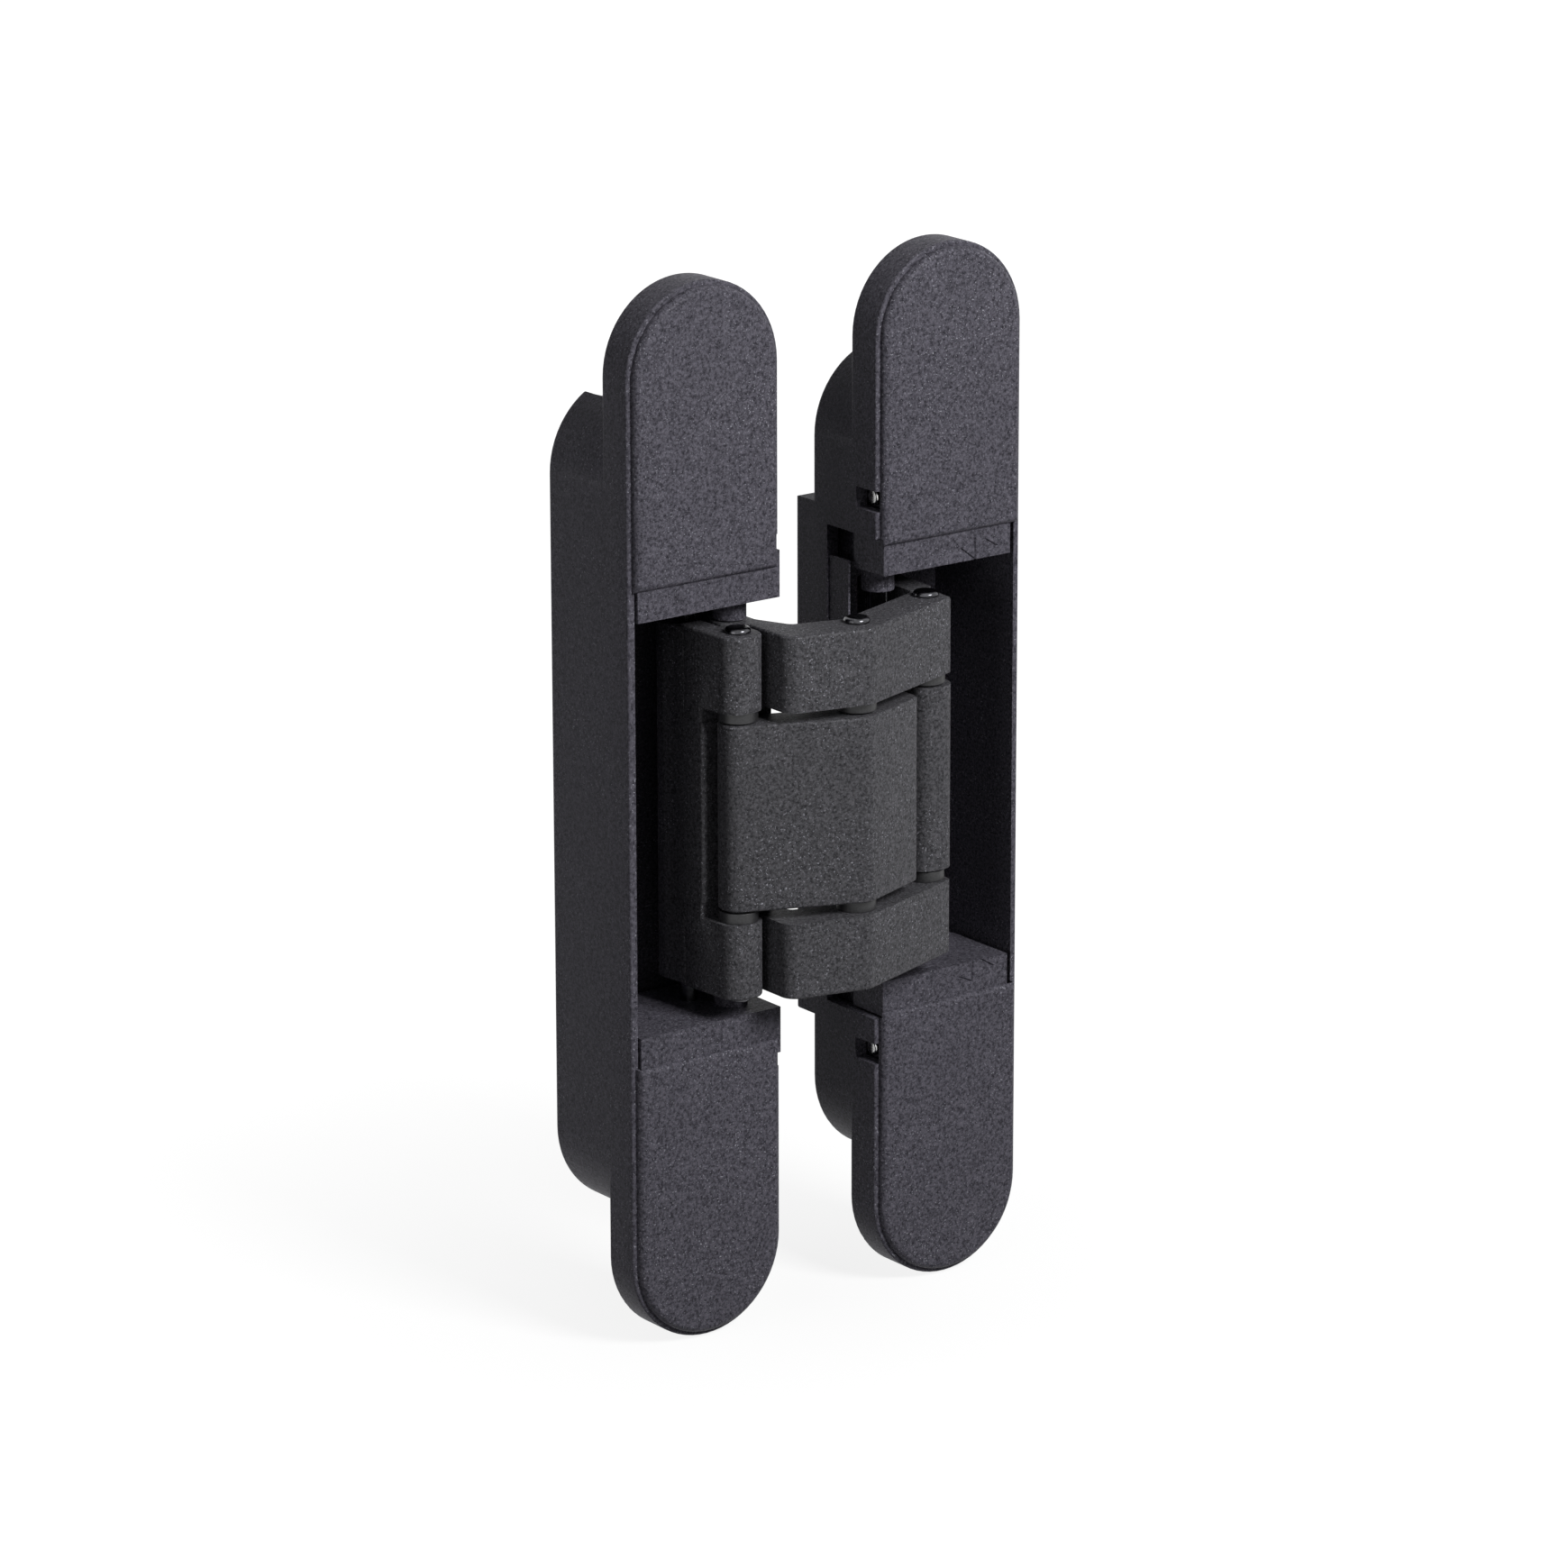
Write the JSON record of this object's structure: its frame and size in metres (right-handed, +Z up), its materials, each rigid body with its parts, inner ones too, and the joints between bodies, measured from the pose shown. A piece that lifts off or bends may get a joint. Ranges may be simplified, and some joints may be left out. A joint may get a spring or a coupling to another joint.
{
  "type": "concealed door hinge",
  "caption": "Concealed cross-arm door hinge, laid open: two long rounded housings joined by folding arms and links, with capped ends and adjustable carriers.",
  "frame": {"origin": "centre of the frame-side fixing hole pattern, 6.5 mm behind the covers' front plane, at mid height of the frame-side housing", "axes": "+Z up along the door edge; +Y into the frame and door edges; +X from the frame-side housing to the door-side housing with the hinge laid open"},
  "size_m": [0.0852, 0.0371, 0.19],
  "materials": {
    "coated_body": "matte charcoal coating on zinc",
    "coated_cover": "matte charcoal coating with fine metallic grain",
    "coated_arm": "matte charcoal coating with fine metallic grain",
    "pin_steel": "dark polished steel",
    "screw_steel": "zinc plated steel",
    "polymer": "black slide polymer"
  },
  "bodies": {
    "frame": {"frame_housing": "coated_body", "frame_cover_top": "coated_cover", "frame_cover_bottom": "coated_cover", "frame_clamp_screws": "screw_steel", "frame_height_screws": "screw_steel"},
    "frame_carriers": {"frame_carrier_top": "coated_body", "frame_carrier_bottom": "coated_body", "frame_arm_pin": "pin_steel", "frame_root_pin": "pin_steel"},
    "outer_arm": {"outer_arm": "coated_arm", "centre_pin": "pin_steel", "centre_washers": "polymer", "door_link_pin": "pin_steel", "door_link_washers": "polymer"},
    "inner_arm": {"inner_arm": "coated_arm"},
    "frame_link": {"frame_link": "coated_arm", "frame_link_pin": "pin_steel", "frame_link_washers": "polymer"},
    "door_link": {"door_link": "coated_arm"},
    "door_carriers": {"door_carrier_top": "coated_body", "door_carrier_bottom": "coated_body", "door_arm_pin": "pin_steel", "door_root_pin": "pin_steel", "door_side_screws": "screw_steel"},
    "door": {"door_housing": "coated_body", "door_cover_top": "coated_cover", "door_cover_bottom": "coated_cover", "door_clamp_screws": "screw_steel"}
  },
  "joints": [
    {"name": "height_adjust", "type": "slide", "parent": "frame", "child": "frame_carriers", "axis": [0, 0, 1], "range_m": [-0.002, 0.002]},
    {"name": "main_fold", "type": "hinge", "parent": "frame_carriers", "child": "outer_arm", "pos_m": [0.0104, 0.0017, 0], "axis": [0, 0, -1], "range_deg": [0, 108.11]},
    {"name": "cross_pivot", "type": "hinge", "parent": "outer_arm", "child": "inner_arm", "pos_m": [0.0266, -0.01341, 0], "axis": [0, 0, -1], "range_deg": [-36.52, 0]},
    {"name": "frame_link_pivot", "type": "hinge", "parent": "inner_arm", "child": "frame_link", "pos_m": [0.0061, -0.00651, 0], "axis": [0, 0, -1], "range_deg": [0, 39.11]},
    {"name": "door_link_pivot", "type": "hinge", "parent": "outer_arm", "child": "door_link", "pos_m": [0.0471, -0.00651, 0], "axis": [0, 0, -1], "range_deg": [-39.11, 0]},
    {"name": "door_arm_pivot", "type": "hinge", "parent": "inner_arm", "child": "door_carriers", "pos_m": [0.0428, 0.0017, 0], "axis": [0, 0, -1], "range_deg": [0, 108.41]},
    {"name": "side_adjust", "type": "slide", "parent": "door_carriers", "child": "door", "axis": [1, 0, 0], "range_m": [-0.0008, 0.0008]}
  ],
  "couplings": [
    {"joint": "cross_pivot", "follows": "main_fold", "ratio": -0.33503},
    {"joint": "frame_link_pivot", "follows": "main_fold", "ratio": 0.35898},
    {"joint": "door_link_pivot", "follows": "main_fold", "ratio": -0.35898},
    {"joint": "door_arm_pivot", "follows": "main_fold", "ratio": 1}
  ]
}
